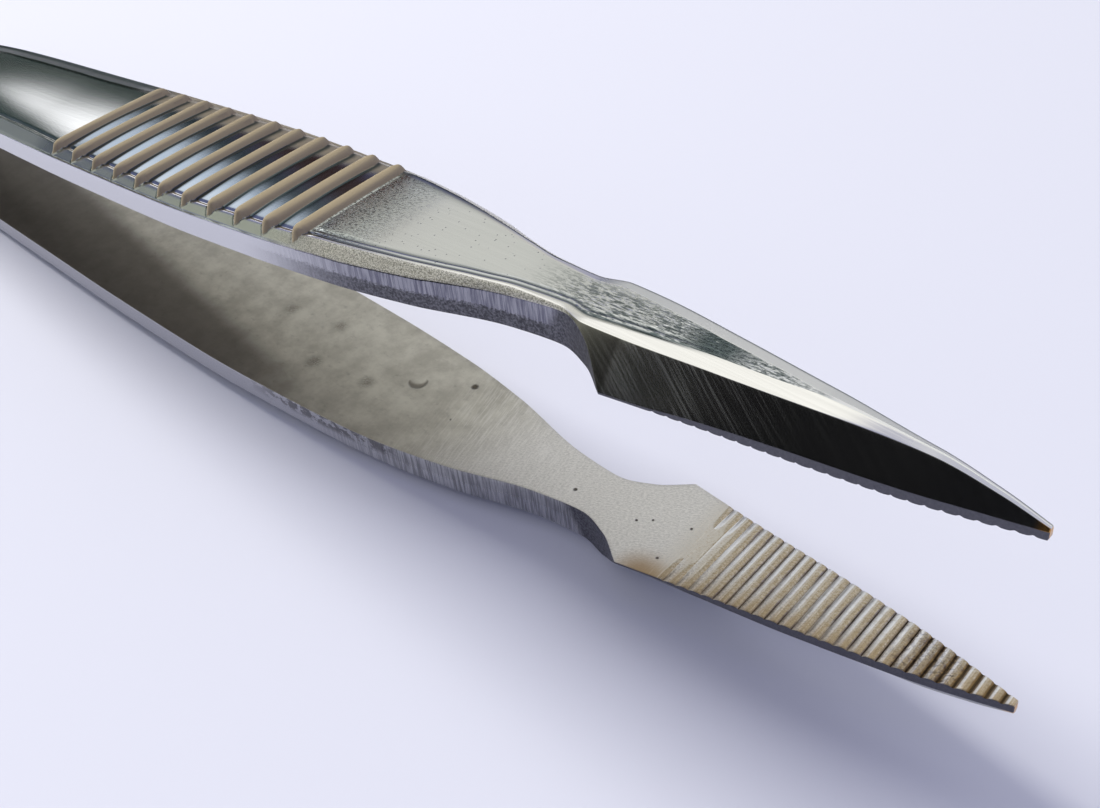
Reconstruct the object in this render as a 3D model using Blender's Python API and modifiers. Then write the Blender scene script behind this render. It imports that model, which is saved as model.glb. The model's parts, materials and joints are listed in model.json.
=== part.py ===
"""Precision tweezers: two stamped steel blades, joined by a weld at the tail.

Each blade is one springy strip. It is made here as a rigid front, the blade, and a short rigid back,
the heel, which meet at the line where the strip does most of its bending.

Every blade section is described by its distance from the tip. The blade frame has the tip at its
origin, +X pointing out of the jaws, Y across the blades and Z from the lower blade to the upper one.
Its Z = 0 plane lies half-way between the blades. A parent empty tilts that frame a little, so that
the tweezers lie on Z = 0 of the world as they lie on a table.
"""

import math

import bmesh
import bpy
import numpy as np

MM = 0.001

# Driving dimensions, in millimetres. Distances are measured from the tip towards the tail.
TOTAL_LENGTH = 115.0
JAW_LENGTH = 19.6
HINGE_DISTANCE = 89.0
HINGE_GAP = 0.3
WELD_LENGTH = 1.3
WELD_WIDTH = 5.2
WELD_GAP = 0.3
WELD_ROUNDING = 0.55
HEEL_SPLIT = 0.3

TOOTH_COUNT = 25
TOOTH_PITCH = 0.68
FIRST_GROOVE = 0.56
GROOVE_WIDTH = 0.40
GROOVE_DEPTH = 0.20

RIB_COUNT = 11
RIB_PITCH = 2.31
FIRST_RIB = 39.5
RIB_FOOT = 1.36
RIB_CREST = 0.56
RIB_HEIGHT = 0.28

# The pose in which the tweezers lie on a table, on the first and last rib of the lower blade. The
# height is that of the blade frame's origin, and the reach is its distance from the middle of the whole.
REST_TILT = math.radians(3.69)
REST_HEIGHT = 10.15
TIP_REACH = 57.22

# Half width of a blade's inner face. The jaw and the shank meet at the sharp shoulder.
JAW_HALF_WIDTH = [(0, 0.2), (2, 0.67), (5, 1.31), (10, 2.08), (15, 2.75), (JAW_LENGTH, 3.44)]
SHANK_HALF_WIDTH = [
    (JAW_LENGTH, 3.44), (21.4, 2.19), (23.3, 1.6), (26, 1.87), (32, 3.39), (37, 4.25), (43, 4.75),
    (51, 5.05), (60, 4.95), (68, 4.7), (80, 4.2), (95, 3.4), (110, 3.1), (112, 3.0), (114, 2.4),
]
# Height of the inner face above the plane half-way between the blades.
INNER_HEIGHT = [
    (0, 5.1), (5, 5.12), (10, 5.2), (20, 5.45), (26, 5.48), (37, 5.33), (43, 5.09), (50, 4.78),
    (68, 3.9), (80, 3.4), (90, 2.6), (98, 1.35), (104, HEEL_SPLIT / 2), (TOTAL_LENGTH, HEEL_SPLIT / 2),
]
# Height of the upright edge wall, and the half width and height of the line where the rolled or
# ground flank above it ends. On the jaw that line is the ridge.
WALL_HEIGHT = [
    (0, 0.45), (4, 0.62), (10, 0.6), (16, 0.35), (JAW_LENGTH, 0.2), (21.4, 1.5), (23.2, 1.85),
    (32, 1.75), (43, 1.45), (60, 1.35), (80, 1.2), (92, 0.95), (TOTAL_LENGTH, 0.95),
]
RIDGE_HALF_WIDTH = [
    (0, 0.12), (5, 0.31), (10, 0.84), (15, 1.37), (20, 1.8), (24, 1.4), (28, 1.95), (32, 2.8),
    (37, 3.55), (43, 4.05), (51, 4.3), (68, 3.9), (80, 3.4), (95, 2.8), (112, 2.4), (114, 1.8),
]
RIDGE_HEIGHT = [
    (0, 0.6), (2, 1.27), (5, 1.93), (10, 2.22), (23, 2.27), (32, 2.25), (43, 2.0), (51, 1.8),
    (68, 1.65), (80, 1.5), (92, 1.2), (TOTAL_LENGTH, 1.2),
]
# How far the panel on top of the blade is set in from that line.
PANEL_INSET = [(0, 0.06), (10, 0.5), (18, 0.8), (24, 0.45), (32, 0.3), (TOTAL_LENGTH, 0.3)]
PANEL_CROWN = [(0, 0.02), (20, 0.08), (32, 0.08), (38, 0), (TOTAL_LENGTH, 0)]

STEEL_FINISHES = {
    "upper_blade": ((0.60, 0.60, 0.57), 0.22),
    "lower_blade": ((0.52, 0.51, 0.46), 0.38),
    "upper_heel": ((0.60, 0.60, 0.57), 0.22),
    "lower_heel": ((0.52, 0.51, 0.46), 0.38),
    "tail_weld": ((0.47, 0.46, 0.44), 0.45),
}


def smooth_curve(points):
    """A function of distance: a smooth curve through the points that never overshoots them."""
    places, values = np.array(points, float).T
    steps = np.diff(places)
    slopes = np.diff(values) / steps
    tangents = np.zeros(len(places))
    tangents[0], tangents[-1] = slopes[0], slopes[-1]
    for i in range(1, len(places) - 1):
        if slopes[i - 1] * slopes[i] > 0:
            before = 2 * steps[i] + steps[i - 1]
            after = steps[i] + 2 * steps[i - 1]
            tangents[i] = (before + after) / (before / slopes[i - 1] + after / slopes[i])

    def value(place):
        i = int(np.clip(np.searchsorted(places, place) - 1, 0, len(steps) - 1))
        t = (place - places[i]) / steps[i]
        bend = tangents[i] * (t - 1) ** 2 * t + tangents[i + 1] * (t - 1) * t * t
        return values[i] + (values[i + 1] - values[i]) * t * t * (3 - 2 * t) + steps[i] * bend

    return value


jaw_half_width = smooth_curve(JAW_HALF_WIDTH)
shank_half_width = smooth_curve(SHANK_HALF_WIDTH)
inner_height = smooth_curve(INNER_HEIGHT)
wall_height = smooth_curve(WALL_HEIGHT)
ridge_half_width = smooth_curve(RIDGE_HALF_WIDTH)
ridge_height = smooth_curve(RIDGE_HEIGHT)
panel_inset = smooth_curve(PANEL_INSET)
panel_crown = smooth_curve(PANEL_CROWN)


def half_width(distance):
    return jaw_half_width(distance) if distance <= JAW_LENGTH else shank_half_width(distance)


def blade_section(distance, groove=0.0, rib=0.0):
    """The section's corners as (y, height above the mid plane), from one inner edge over to the other."""
    inner = inner_height(distance)
    width = half_width(distance)
    ridge = min(ridge_half_width(distance), width)
    panel = max(ridge - panel_inset(distance), ridge * 0.4)
    top = inner + ridge_height(distance)
    crown = panel_crown(distance)
    side = [
        (width, inner + groove),
        (width, inner + wall_height(distance)),
        (ridge, top),
        (panel, top + crown / 2 + rib),
    ]
    return [(-y, z) for y, z in side] + [(0.0, top + crown + rib)] + side[::-1]


def tooth_stations():
    """(distance, groove, rib) along the serrated jaw face."""
    stations = [(0.0, 0.0, 0.0)]
    for i in range(TOOTH_COUNT):
        middle = FIRST_GROOVE + i * TOOTH_PITCH
        stations.append((middle - GROOVE_WIDTH / 2, 0.0, 0.0))
        stations.append((middle, GROOVE_DEPTH, 0.0))
        stations.append((middle + GROOVE_WIDTH / 2, 0.0, 0.0))
    return stations


def rib_stations():
    """(distance, groove, rib) across the raised grip ribs."""
    stations = []
    for i in range(RIB_COUNT):
        middle = FIRST_RIB + i * RIB_PITCH
        for offset, rib in ((-RIB_FOOT, 0.0), (-RIB_CREST, RIB_HEIGHT), (RIB_CREST, RIB_HEIGHT), (RIB_FOOT, 0.0)):
            stations.append((middle + offset / 2, 0.0, rib))
    return stations


def plain_stations(distances):
    return [(distance, 0.0, 0.0) for distance in distances]


def blade_stations():
    neck = plain_stations((18.4, JAW_LENGTH, 20.1, 20.7, 21.4, 22.2, 23.2, 24.5, 26, 28, 30, 32, 34.5, 37))
    back = plain_stations((65, 68, 72, 76, 80, 84, HINGE_DISTANCE - HINGE_GAP / 2))
    return tooth_stations() + neck + rib_stations() + back


def heel_stations():
    end = TOTAL_LENGTH - WELD_LENGTH - WELD_GAP
    return plain_stations((HINGE_DISTANCE + HINGE_GAP / 2, 92, 95, 98, 101, 104, 108, 111.5, 112.6, end))


def new_object(name, mesh, collection, parent):
    """Adds the mesh to the scene as a named part with its own steel finish."""
    material = bpy.data.materials.new(name + "_steel")
    material.use_nodes = True
    shader = material.node_tree.nodes["Principled BSDF"]
    colour, roughness = STEEL_FINISHES[name]
    shader.inputs["Base Color"].default_value = (*colour, 1.0)
    shader.inputs["Roughness"].default_value = roughness
    shader.inputs["Metallic"].default_value = 1.0
    mesh.materials.append(material)
    part = bpy.data.objects.new(name, mesh)
    part.parent = parent
    collection.objects.link(part)
    return part


def loft_blade(name, stations, side, collection, hinge):
    """A solid through the blade sections at the stations. side is 1 for the upper blade, -1 for the lower."""
    shape = bmesh.new()
    rings = []
    for distance, groove, rib in stations:
        corners = blade_section(distance, groove, rib)
        places = [(-distance * MM, y * MM, side * z * MM) for y, z in corners]
        rings.append([shape.verts.new(np.subtract(place, hinge.location)) for place in places])
    for ring, following in zip(rings, rings[1:]):
        for i in range(len(ring)):
            j = (i + 1) % len(ring)
            shape.faces.new((ring[i], ring[j], following[j], following[i]))
    shape.faces.new(rings[0])
    shape.faces.new(rings[-1])
    bmesh.ops.recalc_face_normals(shape, faces=shape.faces)
    mesh = bpy.data.meshes.new(name)
    shape.to_mesh(mesh)
    shape.free()
    return new_object(name, mesh, collection, hinge)


def weld_bead(name, collection, parent):
    """The fused bar across both heel ends, ground round."""
    heel_thickness = inner_height(TOTAL_LENGTH) + ridge_height(TOTAL_LENGTH)
    shape = bmesh.new()
    bmesh.ops.create_cube(shape, size=1.0)
    bmesh.ops.scale(shape, vec=(WELD_LENGTH * MM, WELD_WIDTH * MM, 2 * heel_thickness * MM), verts=shape.verts)
    mesh = bpy.data.meshes.new(name)
    shape.to_mesh(mesh)
    shape.free()
    part = new_object(name, mesh, collection, parent)
    part.location.x = (WELD_LENGTH / 2 - TOTAL_LENGTH) * MM
    rounding = part.modifiers.new("rounding", "BEVEL")
    rounding.width = WELD_ROUNDING * MM
    rounding.segments = 3
    return part


def new_empty(name, collection, parent, location):
    empty = bpy.data.objects.new(name, None)
    empty.empty_display_size = 5 * MM
    empty.parent = parent
    empty.location = location
    collection.objects.link(empty)
    return empty


def main():
    for old in list(bpy.data.objects):
        bpy.data.objects.remove(old)
    collection = bpy.data.collections.new("precision_tweezers")
    bpy.context.scene.collection.children.link(collection)

    resting = new_empty("resting_pose", collection, None, (TIP_REACH * MM, 0.0, REST_HEIGHT * MM))
    resting.rotation_euler.y = -REST_TILT

    hinge_height = inner_height(HINGE_DISTANCE) + ridge_height(HINGE_DISTANCE) / 2
    for side, label in ((1, "upper"), (-1, "lower")):
        place = (-HINGE_DISTANCE * MM, 0.0, side * hinge_height * MM)
        hinge = new_empty(label + "_hinge", collection, resting, place)
        loft_blade(label + "_blade", blade_stations(), side, collection, hinge)
        loft_blade(label + "_heel", heel_stations(), side, collection, hinge)
    weld_bead("tail_weld", collection, resting)


main()
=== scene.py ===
"""The looks of the precision tweezers: two stamped steel blades and the weld that joins their tails.

Lengths are in millimetres in the blade frame: the distance runs from the jaw tip towards the tail,
across is from the middle of the blade to its edges, and the height is above the blade's inner face.
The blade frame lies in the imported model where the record's upper tail flat says.
"""

import json
import math

import bpy
import numpy as np
from mathutils import Matrix, Vector


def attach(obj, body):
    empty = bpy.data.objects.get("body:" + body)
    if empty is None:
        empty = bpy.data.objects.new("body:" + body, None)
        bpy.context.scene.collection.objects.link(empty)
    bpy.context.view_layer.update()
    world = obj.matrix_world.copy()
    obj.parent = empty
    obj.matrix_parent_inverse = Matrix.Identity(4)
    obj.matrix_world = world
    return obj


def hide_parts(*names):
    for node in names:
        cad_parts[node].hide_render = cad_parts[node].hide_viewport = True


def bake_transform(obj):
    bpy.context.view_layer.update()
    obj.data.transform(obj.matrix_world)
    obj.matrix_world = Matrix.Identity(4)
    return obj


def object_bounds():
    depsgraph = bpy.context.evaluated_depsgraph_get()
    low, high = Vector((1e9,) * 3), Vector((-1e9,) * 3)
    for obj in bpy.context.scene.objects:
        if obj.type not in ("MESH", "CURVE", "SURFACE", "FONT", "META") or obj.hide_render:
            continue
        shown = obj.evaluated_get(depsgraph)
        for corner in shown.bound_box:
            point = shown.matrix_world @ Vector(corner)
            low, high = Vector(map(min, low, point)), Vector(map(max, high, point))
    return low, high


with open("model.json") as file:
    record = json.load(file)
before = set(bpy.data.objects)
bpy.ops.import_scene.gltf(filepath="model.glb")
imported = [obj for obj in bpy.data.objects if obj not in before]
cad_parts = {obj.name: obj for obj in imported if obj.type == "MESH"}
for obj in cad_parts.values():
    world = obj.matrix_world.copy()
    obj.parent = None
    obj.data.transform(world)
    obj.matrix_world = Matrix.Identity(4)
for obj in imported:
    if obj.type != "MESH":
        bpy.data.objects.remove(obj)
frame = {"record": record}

cad_low, cad_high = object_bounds()

MM = 0.001
TOTAL_LENGTH = 115.0
JAW_LENGTH = 19.6
WELD_LENGTH = 1.3
WELD_WIDTH = 5.2
WELD_THICKNESS = 2.7
WELD_ROUNDING = 0.6
# How far the blades' ends reach into the weld, where the two blades meet, and half the gap from there.
WELD_OVERLAP = 0.1
WELD_DISTANCE = 104.0
TAIL_GAP = 0.03
# The size of the section at the very tip, as a share of the one behind it.
TIP_SHARE = 0.8
SHARP_ANGLE = math.radians(29)

TOOTH_COUNT = 25
TOOTH_PITCH = 0.68
FIRST_GROOVE = 0.56
GROOVE_DEPTH = 0.1

RIB_COUNT = 11
RIB_PITCH = 2.31
FIRST_RIB = 39.5
RIB_HEIGHT = 0.27
RIB_COLOUR = (0.335, 0.275, 0.19, 1.0)
RIB_ROUGHNESS = 0.55
RIB_METALLIC = 0.4
SATIN_COLOUR = (0.50, 0.44, 0.34, 1.0)
# Painted shade: the near-black that darkens the creases, the ribs' feet and the far rim, and how much of it
# they take.
CREASE_SHADE_COLOUR = (0.03, 0.055, 0.065, 1.0)
CREASE_SHADE_SHARE = 0.9
# Painted shade along the far edge behind the ribs, the dark reflection that edge shows.
FAR_EDGE_SHADE_COLOUR = (0.05, 0.07, 0.07, 1.0)

# How far the outer face of the grip falls towards its edges, and the two creases along the near edge:
# how deep they are, how wide, and how far the inner one lies from the panel's edge.
CROWN = 0.14
CREASE_DEPTH = 0.05
CREASE_WIDTH = 0.1
SECOND_CREASE = 0.32

# Small dark pits in the faces between the blades, as (distance, across, radius), and the two round
# marks whose difference is a hooked scratch, as (distance, across, radius, softness).
PITS = [
    (24.6, -0.55, 0.10), (20.5, -0.5, 0.07), (19.8, 0.0, 0.06), (17.8, 0.6, 0.07), (18.0, -2.0, 0.07),
    (35.0, 2.6, 0.2),
]
HOOK = [(38.1, 0.95, 0.58, 0.15), (38.28, 1.2, 0.54, 0.25)]
# Larger, fainter smudges in the same faces, as (distance, across).
SMUDGES = [(45.9, 1.9), (44.6, -1.5), (49.8, 1.2), (40.6, -0.9)]

# The place of the upper tail flat in the blade frame: its distance from the tip, and its height.
FLAT_DISTANCE = 108.0
FLAT_HEIGHT = 1.35

# The table's side in metres, and how far below the lowest rib it lies, in millimetres.
FLOOR_SIZE = 4.0
FLOOR_GAP = 0.02

# The camera in the blade frame, as (towards the tips, across, up), and how far it leans to one side.
CAMERA_PLACE = (11.85, -37.22, 43.58)
CAMERA_AIM = (-25.65, -0.58, 0.0)
CAMERA_ROLL = math.radians(3.84)
CAMERA_LENS = 43.7

# The curves along the blade, as (distance, value). The heights start at the blade's inner face, apart
# from INNER_HEIGHT, which is how high that face lies above the plane half-way between the blades.
JAW_HALF_WIDTH = [(0, 0.2), (2, 0.67), (5, 1.31), (10, 2.08), (15, 2.75), (JAW_LENGTH, 3.44)]
SHANK_HALF_WIDTH = [
    (JAW_LENGTH, 3.44), (21.4, 2.19), (23.3, 1.6), (26, 1.87), (32, 3.39), (37, 4.25), (43, 4.75),
    (51, 5.05), (60, 4.95), (68, 4.7), (80, 4.2), (95, 3.4), (110, 3.1), (112, 3.0), (114, 2.4),
]
INNER_HEIGHT = [
    (0, 5.1), (5, 5.12), (10, 5.2), (20, 5.45), (26, 5.48), (37, 5.33), (43, 5.09), (50, 4.78),
    (68, 3.9), (80, 3.4), (90, 2.6), (98, 1.35), (WELD_DISTANCE, TAIL_GAP), (TOTAL_LENGTH, TAIL_GAP),
]
JAW_WALL = [(0, 0.45), (4, 0.55), (10, 0.55), (15, 0.35), (18, 0.12), (JAW_LENGTH, 0.12)]
SHANK_WALL = [
    (JAW_LENGTH, 2.1), (22.3, 2.1), (23.4, 2.0), (26, 1.85), (32, 1.75), (43, 1.45), (60, 1.38), (80, 1.2),
    (92, 0.95), (TOTAL_LENGTH, 0.95),
]
# How much wider each millimetre makes the plane of the jaw's ground side, which runs on into the neck.
JAW_FLARE = 0.15
RIDGE_HALF_WIDTH = [
    (0, 0.12), (5, 0.31), (10, 0.84), (15, 1.37), (20, 1.82), (21.6, 1.86), (23.3, 1.46), (26, 1.6),
    (28, 1.95), (32, 2.8), (37, 3.55), (43, 4.05), (51, 4.3), (60, 4.1), (68, 3.65), (80, 3.2),
    (95, 2.6), (112, 2.3), (114, 1.8),
]
RIDGE_HEIGHT = [
    (0, 0.6), (2, 1.25), (5, 1.88), (10, 2.12), (23, 2.17), (32, 2.2), (43, 2.0), (51, 1.8),
    (68, 1.65), (80, 1.5), (92, 1.2), (TOTAL_LENGTH, 1.2),
]
# How far the flat panel is set in from the ridge, and how much higher than the ridge it lies.
PANEL_INSET = [(0, 0.1), (10, 0.78), (18, 0.8), (24, 0.45), (32, 0.3), (TOTAL_LENGTH, 0.3)]
PANEL_RISE = [(0, 0.03), (5, 0.1), (10, 0.2), (18, 0.2), (24, 0.07), (32, 0.03), (TOTAL_LENGTH, 0.03)]

# The stretches of half a section, from the inner face at 0 to the outer panel at 4. They are also the
# numbers of the blade's material slots.
EDGE, FLANK, BAND = 1, 2, 3


def smooth_curve(points):
    """A function of distance: a smooth curve through the points that never overshoots them."""
    places, values = np.array(points, float).T
    steps = np.diff(places)
    slopes = np.diff(values) / steps
    tangents = np.zeros(len(places))
    tangents[0], tangents[-1] = slopes[0], slopes[-1]
    for i in range(1, len(places) - 1):
        if slopes[i - 1] * slopes[i] > 0:
            before = 2 * steps[i] + steps[i - 1]
            after = steps[i] + 2 * steps[i - 1]
            tangents[i] = (before + after) / (before / slopes[i - 1] + after / slopes[i])

    def value(place):
        i = np.clip(np.searchsorted(places, place) - 1, 0, len(steps) - 1)
        t = np.clip((place - places[i]) / steps[i], 0, 1)
        bend = tangents[i] * (t - 1) ** 2 * t + tangents[i + 1] * (t - 1) * t * t
        return values[i] + (values[i + 1] - values[i]) * t * t * (3 - 2 * t) + steps[i] * bend

    return value


def smooth_step(low, high, value):
    """0 below low, 1 above high and an S-shaped rise between them."""
    t = np.clip((value - low) / (high - low), 0, 1)
    return t * t * (3 - 2 * t)


jaw_half_width = smooth_curve(JAW_HALF_WIDTH)
shank_half_width = smooth_curve(SHANK_HALF_WIDTH)
inner_height = smooth_curve(INNER_HEIGHT)
jaw_wall = smooth_curve(JAW_WALL)
shank_wall = smooth_curve(SHANK_WALL)
ridge_half_width = smooth_curve(RIDGE_HALF_WIDTH)
ridge_height = smooth_curve(RIDGE_HEIGHT)
panel_inset = smooth_curve(PANEL_INSET)
panel_rise = smooth_curve(PANEL_RISE)


def half_width(distance):
    """From the blade's middle to its edge, with the step at the jaw's heel."""
    return np.where(distance <= JAW_LENGTH, jaw_half_width(distance), shank_half_width(distance))


def wall_height(distance, width, ridge, height):
    """How high the upright wall reaches. At the neck it is cut off by the plane of the jaw's side."""
    edge = jaw_wall(distance)
    plane = JAW_HALF_WIDTH[-1][1] + JAW_FLARE * (distance - JAW_LENGTH)
    cut = edge + (plane - width) / (plane - ridge) * (height - edge)
    return np.where(distance <= JAW_LENGTH, edge, np.minimum(shank_wall(distance), cut))


def blade_frame():
    """The matrix from the blade frame, in metres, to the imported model's frame."""
    flat = next(m for m in frame["record"]["mounts"] if m["name"] == "upper_tail_flat")
    tilt = math.atan2(-flat["axis"][0], flat["axis"][2])
    turn = Matrix.Rotation(-tilt, 4, "Y")
    in_blade = Vector((-FLAT_DISTANCE * MM, 0, FLAT_HEIGHT * MM))
    return Matrix.Translation(Vector(flat["pos_m"]) - turn @ in_blade) @ turn


TO_MODEL = blade_frame()


def blade_point(along, across, up):
    """A point of the blade frame, given in millimetres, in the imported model's frame."""
    return TO_MODEL @ Vector((along * MM, across * MM, up * MM))


# ---------------------------------------------------------------- the blades' shape


def stations():
    """Distances from the tip at which the blade has a section, closer together where it has detail."""
    stretches = [
        (0.03, 17.6, 0.068), (17.6, 19.5, 0.12), (19.5, 19.7, 0.02), (19.7, 24.0, 0.12),
        (24.0, 37.8, 0.25), (37.8, 64.4, 0.105), (64.4, 104.0, 0.45), (104.0, 111.0, 0.7),
        (111.0, TOTAL_LENGTH - WELD_LENGTH, 0.15),
    ]
    runs = [np.arange(start, end - step / 2, step) for start, end, step in stretches]
    return np.concatenate([[0.0], *runs, [TOTAL_LENGTH - WELD_LENGTH + WELD_OVERLAP]])


def rounded_half(corners, radii, counts, crowding):
    """Points along a broken line whose inner corners are rounded, for every station at once.

    corners has the shape (corner, station, 2). Straight i is split into counts[i] steps, which crowd
    towards its start where crowding[i] is above 1, and each rounded corner is split into 3. It also
    returns the number of the straight that each point belongs to.
    """
    points, straights = [], []
    start = corners[0]
    for i in range(len(corners) - 1):
        is_last = i == len(corners) - 2
        end = corners[i + 1]
        if not is_last:
            back, on = corners[i] - end, corners[i + 2] - end
            back_length = np.linalg.norm(back, axis=1, keepdims=True)
            on_length = np.linalg.norm(on, axis=1, keepdims=True)
            reach = np.minimum(radii[i][:, None], 0.42 * np.minimum(back_length, on_length))
            corner, leaving = end, end + on / on_length * reach
            end = end + back / back_length * reach
        for step in range(counts[i]):
            points.append(start + (end - start) * (step / counts[i]) ** crowding[i])
            straights.append(i)
        if not is_last:
            for t in (0, 1 / 3, 2 / 3):
                points.append(end * (1 - t) ** 2 + corner * 2 * t * (1 - t) + leaving * t * t)
                straights.append(i if t < 0.5 else i + 1)
            start = leaving
    points.append(corners[-1])
    straights.append(len(corners) - 2)
    return np.array(points).transpose(1, 0, 2), np.array(straights)


def groove_shape(distance, across):
    """1 at the bottom of each groove between the teeth, 0 on the teeth's crests."""
    bowed = distance + 0.022 * np.sin(1.1 * across + 0.7 * distance)
    phase = (bowed - FIRST_GROOVE) / TOOTH_PITCH
    number = np.round(phase)
    inside = (number >= 0) & (number < TOOTH_COUNT)
    away = np.abs(phase - number)
    notch = np.clip(1 - away / (0.16 + 0.1 * smooth_step(6, 3, distance)), 0, 1)
    crown = 0.3 * np.clip(1.2 - away / 0.42, 0, 1) ** 2
    return np.where(inside, np.maximum(notch, crown), 0.0)


def groove_strength(distance, across, width):
    """How deep the grooves are: the rearmost ones are cut only near the blade's edges."""
    rear = smooth_step(14.2, 16.4, distance)
    middle = 1 - smooth_step(0.3, 0.85, np.abs(across - 0.25) / width)
    return 1 - rear * middle


def rib_shape(distance, across, width):
    """Two values: 1 along each grip rib's crest and 0 between the ribs, and 1 along its foot's front,
    where a line of painted shade runs.
    """
    number = np.clip(np.round((distance - FIRST_RIB) / RIB_PITCH), 0, RIB_COUNT - 1)
    end = smooth_step(0.08, 1.25, width - np.abs(across))
    behind = distance - FIRST_RIB - number * RIB_PITCH + 0.12 * (1 - end)
    half = 0.05 + 0.45 * end + 0.08 * end * smooth_step(54.0, 44.0, distance)
    bar = np.sqrt(np.clip(1 - (behind / half) ** 2, 0, 1))
    foot = np.clip(1.2 - np.abs(behind + half + 0.12) / 0.3, 0, 1) * smooth_step(0.3, 0.8, end)
    return bar * smooth_step(0.0, 0.8, bar) * smooth_step(0.0, 0.6, end), foot


def waver(distance, seed):
    """A small, slow, hand-made irregularity along the blade, between -1 and 1."""
    slow = np.sin(distance * 0.53 + seed)
    middling = 0.6 * np.sin(distance * 1.31 + 2.3 * seed)
    return (slow + middling + 0.3 * np.sin(distance * 2.7 + 4.1 * seed)) / 1.9


def half_sections(distance, seed):
    """Half of the section at each station, before its relief, and the lines it is drawn from."""
    width = half_width(distance)
    in_shank = smooth_step(21, 26, distance)
    ridge = np.minimum(ridge_half_width(distance) + 0.03 * waver(distance, seed) * in_shank, width - 0.02)
    height = ridge_height(distance)
    wall = wall_height(distance, width, ridge, height)
    panel = np.maximum(ridge - panel_inset(distance) + 0.03 * waver(distance, seed + 1), ridge * 0.12)
    top = height + panel_rise(distance)
    nothing = np.zeros_like(distance)
    corners = np.array([
        np.stack(corner, 1) for corner in (
            (nothing, nothing), (width, nothing), (width, wall),
            (ridge, height), (panel, top), (nothing, top),
        )
    ])
    radii = [nothing + 0.06, 0.03 + 0.1 * in_shank, 0.03 + 0.25 * in_shank, 0.03 + 0.09 * in_shank]
    half, regions = rounded_half(corners, radii, (12, 6, 9, 6, 15), (1, 1, 1, 1, 1.8))
    lines = {"width": width, "wall": wall, "ridge": ridge, "height": height, "panel": panel}
    return half, regions, {name: line[:, None] for name, line in lines.items()}


def edge_lines(distance, across, ridge, panel):
    """Two values: 1 in the creases along the panel's near edge, and 1 in the rim along its far edge.
    Both carry painted shade; the rim is only painted, with no relief of its own.
    """
    inwards = panel - across
    crease = np.exp(-((inwards / CREASE_WIDTH) ** 2))
    front = smooth_step(41.0, 37.0, distance)
    crease = crease + 0.8 * front * np.exp(-(((inwards - SECOND_CREASE) / CREASE_WIDTH) ** 2))
    rim_width = 0.08 + 0.4 * smooth_step(27, 37, distance)
    rim = np.exp(-(((ridge - across) / rim_width) ** 2))
    return crease * smooth_step(14, 19, distance), rim


def blade_arrays(seed):
    """The blade's surface as arrays over (station, place round the section), and each place's region."""
    places = stations()
    half, regions, line = half_sections(places, seed)
    across, up = half[:, :, 0], half[:, :, 1]
    distance = np.repeat(places[:, None], across.shape[1], 1)
    lower_part = np.where(regions <= EDGE, np.clip(1 - up / line["wall"], 0, 1), 0)
    groove = groove_shape(distance, across) * groove_strength(distance, across, line["width"]) * lower_part
    up = up + GROOVE_DEPTH * groove

    above_wall = (up - line["wall"]) / (line["height"] - line["wall"]).clip(0.05)
    outside = np.where(regions >= FLANK, smooth_step(0.0, 0.35, above_wall), 0)
    rib, foot = rib_shape(distance, across, line["width"])
    rib, foot = rib * outside, foot * outside
    on_panel = np.clip(across / line["panel"], 0, 1)
    grip = smooth_step(FIRST_RIB - 1.5, FIRST_RIB + 0.5, distance) * outside
    up = up - CROWN * grip * on_panel ** 2 * (1 - rib) + RIB_HEIGHT * rib
    crease, rim = edge_lines(distance, across, line["ridge"], line["panel"])
    crease = crease * (regions >= BAND) * (1 - rib)
    rim = rim * (regions >= BAND)
    in_front = distance < FIRST_RIB - 0.6

    def both(far, near):
        """The far half section carried on over the near half, back to the start."""
        return np.concatenate([far, near[:, -2:0:-1]], 1)

    return {
        "distance": both(distance, distance),
        "across": both(across, -across),
        "height": both(up, up - CREASE_DEPTH * crease),
        "rib": both(rib, rib),
        "groove": both(groove, groove),
        # The crease value is a mask of painted shade: the far rim and the near creases in front of the ribs,
        # and the ribs' feet behind them.
        "crease": both(np.where(in_front, rim, foot), np.where(in_front, crease, foot)),
        "regions": np.concatenate([regions, regions[-2:0:-1]]),
    }


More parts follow.
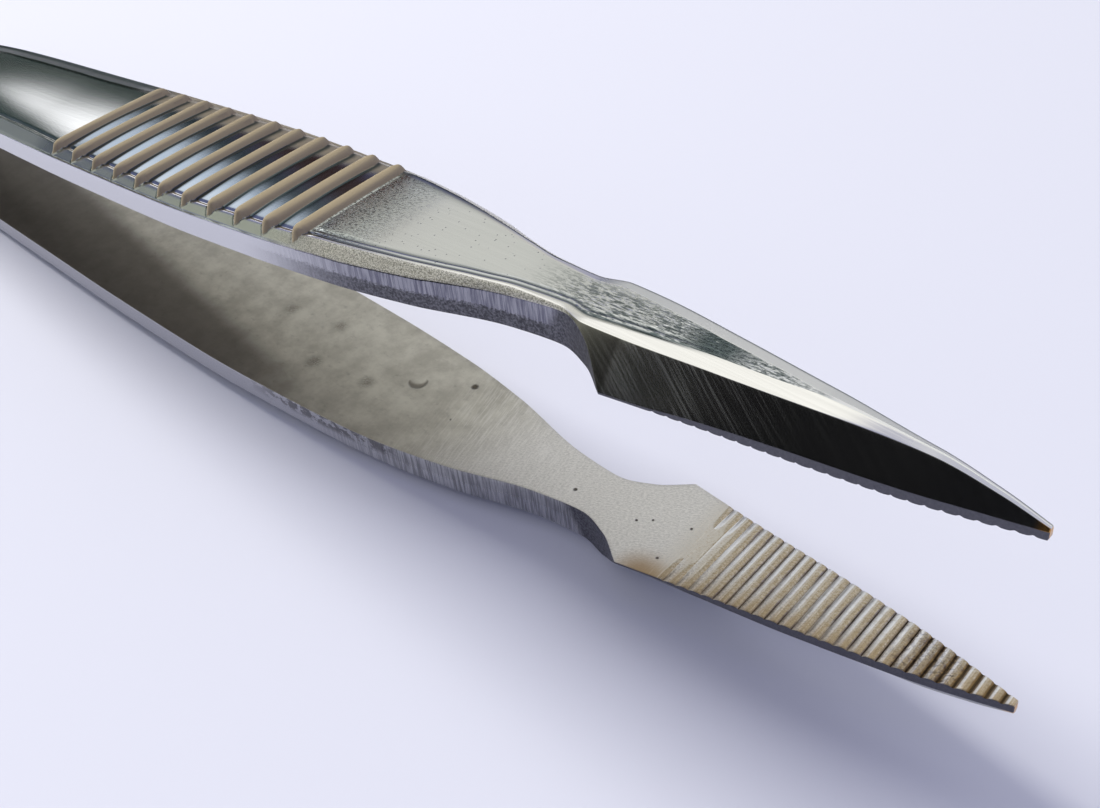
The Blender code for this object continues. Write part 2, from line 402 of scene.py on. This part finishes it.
def blade_mesh(name, side, seed, materials):
    """One blade as a closed mesh, tail included. side is 1 for the upper blade and -1 for the lower."""
    surface = blade_arrays(seed)
    distance, across, height = surface["distance"], surface["across"], surface["height"]
    rows, columns = distance.shape
    levels = side * (inner_height(distance) + height)
    points = np.stack([-distance, across, levels], 2).reshape(-1, 3)
    tip = points[:columns].mean(0)
    points[:columns] = tip + (points[:columns] - tip) * TIP_SHARE
    tail = points[-columns:].mean(0)
    points = np.concatenate([points, [tip, tail]])
    model = np.array(TO_MODEL)
    points = points * MM @ model[:3, :3].T + model[:3, 3]

    column = np.arange(columns)
    after = (column + 1) % columns
    start = np.arange(rows - 1)[:, None] * columns
    quads = np.stack([start + column, start + after, start + columns + after, start + columns + column], 2)
    last = (rows - 1) * columns
    faces = quads.reshape(-1, 4).tolist()
    faces += [(rows * columns, j, i) for i, j in zip(column.tolist(), after.tolist())]
    faces += [(rows * columns + 1, last + i, last + j) for i, j in zip(column.tolist(), after.tolist())]
    if side > 0:
        faces = [face[::-1] for face in faces]
    mesh = bpy.data.meshes.new(name)
    mesh.from_pydata(points.tolist(), [], faces)

    for material in materials:
        mesh.materials.append(material)
    regions = np.minimum(surface["regions"], surface["regions"][after])
    slots = np.concatenate([np.tile(regions, rows - 1), np.full(columns, FLANK), np.full(columns, EDGE)])
    mesh.polygons.foreach_set("material_index", slots.astype(np.int32))
    mesh.shade_smooth()
    mesh.set_sharp_from_angle(angle=SHARP_ANGLE)

    place = np.stack([distance, across, height], 2).reshape(-1, 3)
    place = np.concatenate([place, [place[:columns].mean(0), place[-columns:].mean(0)]])
    layer = mesh.attributes.new("blade_mm", "FLOAT_VECTOR", "POINT")
    layer.data.foreach_set("vector", place.astype(np.float32).ravel())
    for key in ("rib", "groove", "crease"):
        layer = mesh.attributes.new(key, "FLOAT", "POINT")
        layer.data.foreach_set("value", np.append(surface[key].ravel(), [0, 0]).astype(np.float32))
    blade = bpy.data.objects.new(name, mesh)
    bpy.context.scene.collection.objects.link(blade)
    return blade


# ---------------------------------------------------------------- materials


class Graph:
    """A node tree built by short calls. A socket given as a value is linked."""

    def __init__(self, tree):
        self.tree = tree

    def add(self, kind, values=(), out=0, **settings):
        node = self.tree.nodes.new("ShaderNode" + kind)
        for key, value in settings.items():
            setattr(node, key, value)
        for key, value in dict(values).items():
            self.put(node.inputs[key], value)
        return node.outputs[out]

    def put(self, socket, value):
        if isinstance(value, bpy.types.NodeSocket):
            self.tree.links.new(value, socket)
        else:
            socket.default_value = value

    def math(self, operation, first, second=0.0):
        return self.add("Math", {0: first, 1: second}, operation=operation)

    def product(self, *factors):
        result = factors[0]
        for factor in factors[1:]:
            result = self.math("MULTIPLY", result, factor)
        return result

    def range(self, value, low, high, to_low=0.0, to_high=1.0):
        """value from low..high carried over to to_low..to_high, smoothly and held at both ends."""
        values = {0: value, 1: low, 2: high, 3: to_low, 4: to_high}
        return self.add("MapRange", values, interpolation_type="SMOOTHSTEP")

    def mix(self, amount, first, second):
        """A colour between first and second."""
        node = self.tree.nodes.new("ShaderNodeMix")
        node.data_type = "RGBA"
        for socket, value in zip((node.inputs[0], node.inputs[6], node.inputs[7]), (amount, first, second)):
            self.put(socket, value)
        return node.outputs[2]

    def between(self, amount, first, second):
        """A number between first and second."""
        node = self.tree.nodes.new("ShaderNodeMix")
        for socket, value in zip((node.inputs[0], node.inputs[2], node.inputs[3]), (amount, first, second)):
            self.put(socket, value)
        return node.outputs[0]

    def noise(self, vector, scale, detail, roughness):
        values = {"Vector": vector, "Scale": scale, "Detail": detail, "Roughness": roughness}
        return self.add("TexNoise", values, out="Fac")


class Steel(Graph):
    """A steel material. Its patterns are laid out in the blade frame, in millimetres."""

    def __init__(self, name):
        self.material = bpy.data.materials.new(name)
        self.material.use_nodes = True
        super().__init__(self.material.node_tree)
        self.shader = self.tree.nodes["Principled BSDF"]
        self.where = self.add("Attribute", attribute_name="blade_mm", out="Vector")
        parts = self.tree.nodes.new("ShaderNodeSeparateXYZ")
        self.tree.links.new(self.where, parts.inputs[0])
        self.distance, self.across, self.height = parts.outputs

    def place(self, stretch=(1, 1, 1), turn=0.0):
        """The place on the blade, turned in the plane of the blade and then stretched."""
        turned = self.add("VectorRotate", {"Vector": self.where, "Angle": turn}, rotation_type="Z_AXIS")
        return self.add("Mapping", {"Vector": turned, "Scale": stretch})

    def level(self, name):
        """One of the mesh's own values: rib, groove or crease."""
        return self.add("Attribute", attribute_name=name, out="Fac")

    def spot(self, distance, across, radius, softness=0.5):
        """1 inside a round mark on the blade's face and 0 outside it."""
        offset = self.add("VectorMath", {0: self.where, 1: (distance, across, 0)}, operation="SUBTRACT")
        flat = self.add("VectorMath", {0: offset, 1: (1, 1, 0)}, operation="MULTIPLY")
        reach = self.add("VectorMath", {0: flat}, operation="LENGTH", out="Value")
        return self.range(reach, radius * (1 + softness), radius * (1 - softness))

    def pits(self, stretch, density, size):
        """1 in scattered small pits: density is the share of the pattern's cells that have one."""
        cells = self.tree.nodes.new("ShaderNodeTexVoronoi")
        self.put(cells.inputs["Vector"], self.place(stretch))
        self.put(cells.inputs["Scale"], 1.0)
        lot = self.add("SeparateColor", {0: cells.outputs["Color"]}, out="Red")
        chosen = self.math("LESS_THAN", lot, density)
        return self.math("MULTIPLY", chosen, self.range(cells.outputs["Distance"], size, size * 0.4))

    def on_rib(self):
        """1 on the grip ribs and 0 between them."""
        return self.range(self.level("rib"), 0.01, 0.15)

    def rib_metallic(self):
        """1 on bare steel and less on the ribs, which are matte."""
        return self.range(self.on_rib(), 0.0, 1.0, 1.0, RIB_METALLIC)

    def paint_far_tail_shade(self, colour):
        """The colour, darker along the far edge behind the ribs: painted shade, a dark reflection."""
        beside = self.range(self.across, 1.5, 2.5)
        far_tail = self.product(self.range(self.distance, 61.0, 64.0), beside, 0.85)
        return self.mix(far_tail, colour, FAR_EDGE_SHADE_COLOUR)

    # Painted shade in the creases, along the ribs' feet and on the far rim, from the mesh's crease value.
    def paint_crease_shade(self, colour):
        return self.mix(self.product(self.level("crease"), CREASE_SHADE_SHARE), colour, CREASE_SHADE_COLOUR)

    def bump(self, height, reach, strength=1.0, normal=None):
        """Surface relief: reach is how tall a height of 1 stands, in millimetres."""
        values = {"Height": height, "Strength": strength, "Distance": reach * MM}
        if normal is not None:
            values["Normal"] = normal
        return self.add("Bump", values)

    def finish(self, colour, roughness, normal, metallic=1.0):
        for name, value in (("Base Color", colour), ("Roughness", roughness), ("Metallic", metallic)):
            self.put(self.shader.inputs[name], value)
        self.put(self.shader.inputs["Normal"], normal)
        return self.material


def rgb(red, green, blue):
    """A colour as the sockets take it, with full alpha."""
    return (red, green, blue, 1.0)


def grip_inside(g, mottle):
    """The colour between the grips: matte and cloudy, with painted shade on the near side towards the tail.
    """
    cloud = g.noise(g.place(), 0.55, 5, 0.65)
    colour = g.mix(g.range(cloud, 0.3, 0.7), rgb(0.46, 0.44, 0.38), rgb(0.64, 0.62, 0.54))
    colour = g.mix(g.range(mottle, 0.55, 0.8, 0.0, 0.3), colour, rgb(0.16, 0.15, 0.13))
    # Painted shade: the near side towards the tail is darkened where the upper blade shades it and is
    # mirrored in it.
    shaded_side = g.math("SUBTRACT", g.math("MULTIPLY", g.distance, 0.17), g.across)
    dull_and_shade = g.product(g.range(shaded_side, 9.7, 11.8), g.range(g.distance, 38.0, 50.0), 0.8)
    return g.mix(dull_and_shade, colour, rgb(0.13, 0.115, 0.10))


def brush(g, colour):
    """The colour, with bright fine lines between the grip and the neck."""
    brushed = g.noise(g.place((9.0, 0.6, 1.0), 0.25), 1.0, 2, 0.6)
    brushing = g.product(g.range(brushed, 0.45, 0.65), g.range(g.distance, 37.0, 32.0), 0.35)
    return g.mix(g.product(brushing, g.range(g.distance, 22.0, 27.0)), colour, rgb(0.9, 0.88, 0.84))


def stain_jaw(g, colour):
    """The colour, stained brown over the jaw, along its near edge and in its near corner."""
    stained = g.noise(g.place((1, 1.3, 1)), 0.9, 4, 0.6)
    near_side = g.range(g.across, 2.0, -2.5, 0.5, 1.0)
    stain = g.product(g.range(g.distance, 18.5, 3.0), g.range(stained, 0.25, 0.7), near_side)
    colour = g.mix(stain, colour, rgb(0.42, 0.34, 0.22))
    from_edge = g.math("ADD", g.across, g.math("MULTIPLY", g.distance, 0.165))
    edge_stain = g.product(g.range(from_edge, 1.0, -0.2), g.range(g.distance, 20.0, 17.5), 0.7)
    colour = g.mix(edge_stain, colour, rgb(0.36, 0.23, 0.10))
    return g.mix(g.product(g.spot(18.2, -3.3, 1.1, 0.8), 0.7), colour, rgb(0.36, 0.24, 0.12))


def wear_and_shade_teeth(g, colour, toothed, grain, mottle):
    """The colour, streaked and gritty on the teeth, with painted highlights behind their crests
    and painted shade on their other side and in the grooves.
    """
    streaks = g.noise(g.place((9.0, 0.5, 1.0)), 1.0, 2, 0.6)
    colour = g.mix(g.product(toothed, 0.35), colour, rgb(0.60, 0.52, 0.38))
    colour = g.mix(g.product(toothed, g.range(streaks, 0.5, 0.75), 0.7), colour, rgb(0.86, 0.82, 0.74))
    colour = g.mix(g.product(toothed, g.range(grain, 0.47, 0.65), 0.75), colour, rgb(0.36, 0.28, 0.17))
    groove = g.level("groove")
    tooth = g.math("FRACT", g.math("DIVIDE", g.math("SUBTRACT", g.distance, FIRST_GROOVE), TOOTH_PITCH))
    teeth = g.product(g.range(groove, 0.0, 0.02), g.range(mottle, 0.25, 0.5, 0.5, 1.0))
    grit = g.noise(g.place(), 9, 3, 0.75)
    colour = g.mix(g.product(teeth, g.range(grit, 0.46, 0.58), 0.6), colour, rgb(0.16, 0.12, 0.08))
    # Painted shade on one side of each tooth and a painted highlight on the other, the highlight stronger
    # towards the far edge.
    shaded = g.product(teeth, g.range(tooth, 0.55, 0.4), g.range(grain, 0.3, 0.6, 0.3, 0.7))
    colour = g.mix(shaded, colour, rgb(0.37, 0.29, 0.17))
    bright = g.product(teeth, g.range(tooth, 0.5, 0.64), g.range(g.across, -2.2, 0.6, 0.2, 0.8))
    colour = g.mix(bright, colour, rgb(0.95, 0.96, 0.98))
    gold = g.product(g.range(groove, 0.06, 0.4), g.range(g.distance, 7.0, 4.0), 0.85)
    colour = g.mix(gold, colour, rgb(0.27, 0.17, 0.06))
    # Painted shade: the grooves darkened to near black, most towards the tip.
    grooved = g.product(g.range(groove, 0.45, 0.85), g.range(g.distance, 16.0, 4.0, 0.65, 0.95))
    return g.mix(grooved, colour, rgb(0.045, 0.03, 0.015))


def inner_marks(g):
    """1 in the pits and the hooked scratch of the inner faces."""
    marks = g.pits((0.5, 0.5, 1), 0.12, 0.07)
    for distance, across, radius in PITS:
        marks = g.math("MAXIMUM", marks, g.spot(distance, across, radius))
    whole, bite = (g.spot(*mark) for mark in HOOK)
    hook = g.math("MAXIMUM", g.math("SUBTRACT", whole, bite), 0.0)
    return g.math("MAXIMUM", marks, g.product(hook, 0.7))


def inner_face(name):
    """The faces between the blades: matte and mottled on the grip, ground finer on the jaws."""
    g = Steel(name)
    mottle = g.noise(g.place((1.0, 1.4, 1.0)), 1.6, 3, 0.6)
    grain = g.noise(g.place((1.0, 2.0, 1.0), 0.5), 6, 4, 0.75)
    ground = g.mix(g.range(grain, 0.3, 0.7), rgb(0.56, 0.55, 0.52), rgb(0.82, 0.80, 0.76))
    edge_of_grinding = g.math("ADD", g.distance, g.math("MULTIPLY", g.across, 0.35))
    front = g.range(edge_of_grinding, 34.5, 28.0)
    colour = g.mix(front, grip_inside(g, mottle), ground)
    colour = stain_jaw(g, brush(g, colour))
    toothed = g.range(g.distance, 18.5, 16.0)
    colour = wear_and_shade_teeth(g, colour, toothed, grain, mottle)

    smudged = 0.0
    for distance, across in SMUDGES:
        smudged = g.math("MAXIMUM", smudged, g.spot(distance, across, 0.42, 0.95))
    colour = g.mix(g.product(smudged, g.range(grain, 0.3, 0.55), 0.6), colour, rgb(0.12, 0.10, 0.08))
    marks = inner_marks(g)
    colour = g.mix(g.product(marks, 0.85), colour, rgb(0.05, 0.035, 0.02))
    roughness = g.between(front, 0.46, g.between(toothed, 0.40, 0.30))
    chips = g.product(g.range(g.distance, 6.5, 4.8), g.range(g.distance, 2.0, 3.2))
    normal = g.bump(grain, 0.02, g.between(front, 0.5, 0.8))
    normal = g.bump(mottle, 0.25, chips, normal)
    normal = g.bump(marks, -0.05, 1.0, normal)
    return g.finish(colour, roughness, normal)


def ground_edge(name, torn_share):
    """The narrow upright walls, sheared when stamped.

    torn_share is how much of a torn, darker half they have next to the inner face.
    """
    g = Steel(name)
    shear = g.noise(g.place((9.0, 9.0, 0.4)), 1.0, 3, 0.65)
    speckle = g.noise(g.place(), 7.0, 3, 0.7)
    smudge = g.noise(g.place((1.3, 1.3, 1.8)), 1.0, 3, 0.65)
    front = g.range(g.distance, 44.0, 33.0)
    bright, dim, blue = 0.62 - 0.32 * torn_share, 0.30 - 0.16 * torn_share, 0.04 * torn_share
    sheared = g.mix(
        g.range(shear, 0.38, 0.62), rgb(bright, bright, bright + blue), rgb(dim, dim, dim + blue)
    )
    smooth = 0.46 + 0.13 * torn_share
    colour = g.mix(front, rgb(smooth, smooth, smooth + 0.03), sheared)
    split = g.math("ADD", g.height, g.math("MULTIPLY", speckle, 0.7))
    torn = g.product(g.range(split, 1.35, 1.1), front, torn_share)
    rough_grey = g.mix(g.range(speckle, 0.35, 0.7), rgb(0.07, 0.07, 0.08), rgb(0.20, 0.20, 0.225))
    colour = g.mix(torn, colour, rough_grey)
    spots = g.product(g.range(smudge, 0.42, 0.5), g.range(g.height, 1.0, 0.5), 1 - torn_share)
    grime = g.product(spots, g.range(g.distance, 48.0, 43.0), g.range(g.distance, 34.5, 36.0), 0.9)
    colour = g.mix(grime, colour, rgb(0.07, 0.065, 0.07))
    root = g.range(g.math("ADD", g.distance, g.math("MULTIPLY", g.height, 0.5)), 24.8, 24.0)
    colour = g.mix(g.product(root, 0.95), colour, rough_grey)
    # Painted shade: in front of the heel the walls are darker, as they mirror the jaw's shadow on the table.
    colour = g.mix(g.product(g.range(g.distance, 19.7, 19.4), 0.8), colour, rgb(0.13, 0.13, 0.15))
    roughness = g.between(g.math("MAXIMUM", torn, root), 0.24, 0.5)
    normal = g.bump(shear, 0.02, g.between(front, 0.1, 0.8))
    normal = g.bump(speckle, 0.04, g.math("MAXIMUM", torn, root), normal)
    return g.finish(colour, roughness, normal)


def ground_flank(name):
    """The jaws' slanting sides, ground with slanting scratches; behind the neck it is the rolled edge."""
    g = Steel(name)
    shank = g.range(g.distance, 22.0, 23.5)
    grip = g.product(g.range(g.distance, 37.0, 43.0), g.range(g.distance, 66.0, 63.0))
    rear = g.range(g.distance, 37.0, 43.0)
    scratches = g.noise(g.place((14.0, 0.2, 0.2), math.radians(68)), 1.0, 2, 0.6)
    scratched = g.product(g.range(scratches, 0.45, 0.65), g.range(g.distance, 8.0, 17.0, 0.1, 0.8))
    root = g.range(g.distance, 12.0, 19.0)
    # Painted shade: the ground sides are darker towards the tip, for the dark reflection they show there.
    ground = g.mix(root, rgb(0.13, 0.13, 0.13), rgb(0.38, 0.38, 0.35))
    ground = g.mix(scratched, ground, rgb(0.44, 0.45, 0.42))
    heel = g.range(g.distance, JAW_LENGTH - 0.25, JAW_LENGTH + 0.05)
    ground = g.mix(heel, ground, rgb(0.20, 0.20, 0.18))
    sand = g.noise(g.place((1.0, 1.4, 1.4)), 12, 3, 0.7)
    rolled = g.mix(g.range(sand, 0.35, 0.6), rgb(0.32, 0.31, 0.25), rgb(0.93, 0.91, 0.83))
    rolled = g.mix(rear, rolled, rgb(0.46, 0.50, 0.47))
    satin = g.product(grip, g.range(g.across, 2.0, 3.0))
    rolled = g.paint_far_tail_shade(g.mix(satin, rolled, SATIN_COLOUR))
    rib = g.on_rib()
    rolled = g.mix(rib, rolled, RIB_COLOUR)
    colour = g.mix(shank, ground, rolled)
    colour = g.mix(g.range(g.distance, 0.7, 0.2), colour, rgb(0.60, 0.33, 0.10))
    dull_and_shade = g.math("MAXIMUM", satin, g.math("SUBTRACT", 1.0, grip))
    roughness = g.between(rear, 0.34, g.between(dull_and_shade, 0.24, 0.42))
    roughness = g.between(rib, g.between(shank, 0.24, roughness), RIB_ROUGHNESS)
    metallic = g.between(shank, g.range(scratched, 0.0, 1.0, 0.97, 0.84), g.rib_metallic())
    normal = g.bump(scratches, 0.006, g.math("SUBTRACT", 1.0, shank))
    normal = g.bump(sand, 0.03, g.product(shank, g.range(rear, 0.0, 1.0, 1.0, 0.12)), normal)
    return g.finish(colour, roughness, normal, metallic)


def polished_band(name):
    """The narrow bevels between the sides and the outer panel: the smoothest part of the blades."""
    g = Steel(name)
    lines = g.noise(g.place((0.15, 10.0, 1.0)), 1.0, 3, 0.6)
    colour = g.mix(g.range(lines, 0.3, 0.8), rgb(0.76, 0.75, 0.72), rgb(0.84, 0.83, 0.80))
    grip = g.product(g.range(g.distance, 37.0, 40.0), g.range(g.distance, 66.0, 63.0))
    satin = g.product(grip, g.range(g.across, 2.0, 3.0))
    colour = g.paint_far_tail_shade(g.mix(satin, colour, SATIN_COLOUR))
    # Painted highlight: the jaw's far bevel and both bevels near the tip are lightened to near white, and
    # rougher.
    jaw = g.product(g.range(g.distance, 24.0, 21.5), g.range(g.across, -0.2, 0.2))
    jaw = g.math("MAXIMUM", jaw, g.range(g.distance, 8.0, 4.0))
    colour = g.paint_crease_shade(g.mix(jaw, colour, rgb(0.98, 0.98, 0.90)))
    rib = g.on_rib()
    colour = g.mix(rib, colour, RIB_COLOUR)
    roughness = g.between(rib, g.between(g.math("MAXIMUM", satin, jaw), 0.13, 0.4), RIB_ROUGHNESS)
    return g.finish(colour, roughness, g.bump(lines, 0.003), g.rib_metallic())


def outer_panel(name):
    """The outer face: hammered round the neck, pitted in front of the first rib, with painted shade
    in dark streaks and a facet on the neck, between the ribs and in the creases.
    """
    g = Steel(name)
    up_to_rib = g.range(g.distance, 39.4, 38.9)
    lines = g.noise(g.place((0.12, 7.0, 1.0)), 1.0, 3, 0.6)
    colour = g.mix(g.range(lines, 0.3, 0.8), rgb(0.73, 0.74, 0.73), rgb(0.78, 0.79, 0.78))

    neck = g.product(g.range(g.distance, 9.5, 12.0), g.range(g.distance, 27.0, 21.5))
    streaks = g.noise(g.place((1.9, 9.0, 1.0)), 1.0, 4, 0.65)
    facet = g.product(g.spot(15.5, 0.15, 1.6, 0.7), g.range(g.across, 1.2, 0.7))
    facet = g.product(facet, g.range(streaks, 0.22, 0.36))
    # Painted shade: dark streaks over the near part of the hammered neck and a dark facet, the dark
    # reflections they show.
    neck_shade = g.product(neck, g.range(streaks, 0.45, 0.56), g.range(g.across, 1.4, 0.4), 0.8)
    neck_shade = g.math("MAXIMUM", neck_shade, g.product(facet, 0.92))
    colour = g.mix(neck_shade, colour, rgb(0.07, 0.10, 0.10))

    grip = g.product(g.range(g.distance, 38.9, 39.4), g.range(g.distance, 63.5, 62.5))
    # Painted shade: the valleys between the ribs darkened to navy, a little less towards the near edge.
    valley = g.product(grip, g.range(g.across, -3.6, -1.8, 0.74, 0.88))
    colour = g.mix(valley, colour, rgb(0.16, 0.22, 0.29))
    satin = g.product(grip, g.range(g.across, 2.3, 3.3))
    colour = g.mix(satin, colour, SATIN_COLOUR)
    before_rib = g.product(g.range(g.distance, 34.0, 37.0), up_to_rib, 0.4)
    colour = g.paint_crease_shade(g.mix(before_rib, colour, rgb(0.56, 0.65, 0.60)))

    strokes = g.noise(g.place((5.0, 13.0, 1.0), 0.25), 1.0, 3, 0.6)
    dashes = g.product(g.range(strokes, 0.5, 0.56), g.product(g.range(g.distance, 34.0, 38.5), up_to_rib))
    dots = g.product(g.pits((5.0, 4.0, 1.0), 0.28, 0.22), g.range(g.distance, 24.0, 29.0), up_to_rib)
    marks = g.math("MAXIMUM", dashes, dots)
    colour = g.mix(g.product(marks, 0.85), colour, rgb(0.08, 0.08, 0.075))
    rib = g.on_rib()
    colour = g.mix(rib, colour, RIB_COLOUR)
    roughness = g.between(rib, g.between(satin, 0.13, 0.4), RIB_ROUGHNESS)

    hammered = g.noise(g.place((0.5, 1.9, 1.0)), 5.0, 2, 0.5)
    normal = g.bump(hammered, 0.03, g.math("MAXIMUM", neck, 0.03))
    normal = g.bump(marks, -0.006, 1.0, normal)
    normal = g.bump(lines, 0.0008, 1.0, normal)
    return g.finish(colour, roughness, normal, g.rib_metallic())


def weld_metal(name):
    """The weld, faintly rippled. It has no blade frame, so its pattern is laid out in the object's."""
    g = Steel(name)
    place = g.add("TexCoord", out="Object")
    ripple = g.noise(g.add("Mapping", {"Vector": place, "Scale": (900, 900, 900)}), 1.0, 3, 0.6)
    colour = g.mix(g.range(ripple, 0.3, 0.7), rgb(0.42, 0.40, 0.37), rgb(0.56, 0.55, 0.52))
    return g.finish(colour, 0.38, g.bump(ripple, 0.02))


# ---------------------------------------------------------------- pieces


def make_blade(name, side, seed, materials):
    """One whole strip in place of the rigid blade and heel, which it hides."""
    blade = blade_mesh(name + "_steel", side, seed, materials)
    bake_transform(blade)
    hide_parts(name + "_blade", name + "_heel")


def make_weld():
    """The fused bar across the tail, ground round."""
    bpy.ops.mesh.primitive_cube_add(size=1.0)
    weld = bpy.context.object
    weld.name = "tail_weld_bar"
    weld.data.transform(Matrix.Diagonal((WELD_LENGTH * MM, WELD_WIDTH * MM, WELD_THICKNESS * MM, 1)))
    weld.matrix_world = TO_MODEL @ Matrix.Translation(((WELD_LENGTH / 2 - TOTAL_LENGTH) * MM, 0, 0))
    rounding = weld.modifiers.new("rounding", "BEVEL")
    rounding.width = WELD_ROUNDING * MM
    rounding.segments = 6
    weld.data.materials.append(weld_metal("weld_metal"))
    weld.data.shade_smooth()
    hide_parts("tail_weld")
    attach(weld, "tail")


inside, flanks = inner_face("inner_face"), ground_flank("ground_flank")
bevels, outside = polished_band("polished_band"), outer_panel("outer_panel")
make_blade("upper", 1, 0.7, [inside, ground_edge("upper_edge", 1.0), flanks, bevels, outside])
make_blade("lower", -1, 3.1, [inside, ground_edge("lower_edge", 0.2), flanks, bevels, outside])
make_weld()


# ---------------------------------------------------------------- floor, light and camera


def make_floor():
    """The plain pale table."""
    bpy.ops.mesh.primitive_plane_add(size=FLOOR_SIZE, location=(0, 0, cad_low.z - FLOOR_GAP * MM))
    floor = bpy.context.object
    floor.name = "table_top"
    material = bpy.data.materials.new("table_top")
    material.use_nodes = True
    shader = material.node_tree.nodes["Principled BSDF"]
    shader.inputs["Base Color"].default_value = rgb(0.61, 0.62, 0.74)
    shader.inputs["Roughness"].default_value = 0.8
    shader.inputs["Specular IOR Level"].default_value = 0.2
    floor.data.materials.append(material)


def make_light(name, azimuth, elevation, away, size, power, colour):
    """A square soft light aimed at the middle of the table. Azimuth 0 is towards +Y, 90 towards +X.

    The steel mirrors the painted studio alone, so its reflections have no hard-edged squares in them.
    """
    turn, rise = math.radians(azimuth), math.radians(elevation)
    place = away * Vector((math.sin(turn) * math.cos(rise), math.cos(turn) * math.cos(rise), math.sin(rise)))
    light = bpy.data.lights.new(name, "AREA")
    light.size = size
    light.energy = power
    light.color = colour
    lamp = bpy.data.objects.new(name, light)
    lamp.matrix_world = Matrix.Translation(place) @ (-place).to_track_quat("-Z", "Y").to_matrix().to_4x4()
    lamp.visible_glossy = False
    bpy.context.scene.collection.objects.link(lamp)


# The plain colour seen past the table's edge, and the studio that lights the table and that the steel
# mirrors: parts painted in this order over the general light of the room. Each is (azimuth of its middle,
# half its width, lowest and highest elevation, softness of its edge, colour), with angles in degrees.
BACKDROP = (0.62, 0.64, 0.76)
ROOM = (0.28, 0.29, 0.48)
STUDIO = [
    (-150, 90, 42, 68, 6, (0.72, 0.72, 0.70)),
    (0, 35, 20, 78, 12, (0.98, 0.98, 0.98)),
    (-120, 26, 12, 55, 8, (0.72, 0.71, 0.63)),
    (-70, 35, 44, 75, 5, (1.15, 1.15, 1.12)),
    (-50, 16, 22, 44, 3, (0.72, 0.72, 0.68)),
    (-86.5, 27.5, -10, 24, 1.5, (0.025, 0.045, 0.04)),
    (-45, 35, -10, 12, 3, (0.03, 0.045, 0.04)),
    (-56, 2.5, 8, 23.5, 1.5, (0.09, 0.04, 0.03)),
    (-66, 3.2, 15, 25, 2, (1.8, 1.8, 1.85)),
    (-38, 7, 31, 41, 1.5, (0.03, 0.06, 0.06)),
    (180, 38, -10, 48, 4, (0.012, 0.012, 0.012)),
]


def make_world():
    """A soft studio whose light depends only on the direction it comes from, and a plain backdrop."""
    world = bpy.data.worlds.new("studio")
    bpy.context.scene.world = world
    world.use_nodes = True
    g = Graph(world.node_tree)
    direction = g.tree.nodes.new("ShaderNodeSeparateXYZ")
    g.put(direction.inputs[0], g.add("TexCoord", out="Generated"))
    east, north, rise = direction.outputs
    level = g.math("SQRT", g.math("ADD", g.product(east, east), g.product(north, north)))
    colour = rgb(*ROOM)
    for middle, half, lowest, highest, soft, light in STUDIO:
        turn = math.radians(middle)
        along = g.math("ADD", g.product(east, math.sin(turn)), g.product(north, math.cos(turn)))
        towards = g.math("DIVIDE", along, level)
        mask = g.product(
            g.range(towards, math.cos(math.radians(half + soft)), math.cos(math.radians(half - soft))),
            g.range(rise, math.sin(math.radians(lowest - soft)), math.sin(math.radians(lowest + soft))),
            g.range(rise, math.sin(math.radians(highest + soft)), math.sin(math.radians(highest - soft))),
        )
        colour = g.mix(mask, colour, rgb(*light))
    seen = g.add("LightPath", out="Is Camera Ray")
    g.put(g.tree.nodes["Background"].inputs["Color"], g.mix(seen, colour, rgb(*BACKDROP)))


def make_camera():
    """The camera, beside the near edge of the blades and looking down on them."""
    data = bpy.data.cameras.new("camera")
    data.lens = CAMERA_LENS
    data.sensor_width = 36
    data.clip_start = 0.001
    camera = bpy.data.objects.new("camera", data)
    bpy.context.scene.collection.objects.link(camera)
    place, aim = blade_point(*CAMERA_PLACE), blade_point(*CAMERA_AIM)
    look = (aim - place).to_track_quat("-Z", "Y").to_matrix().to_4x4()
    camera.matrix_world = Matrix.Translation(place) @ look @ Matrix.Rotation(-CAMERA_ROLL, 4, "Z")
    bpy.context.scene.camera = camera


make_floor()
make_world()
make_light("tail_light", -85, 20, 0.9, 0.24, 19.5, (1.0, 0.98, 0.83))
make_light("front_light", 150, 42, 0.42, 0.24, 0.26, (0.80, 0.84, 1.0))
make_camera()
bpy.context.scene.view_settings.view_transform = "Standard"
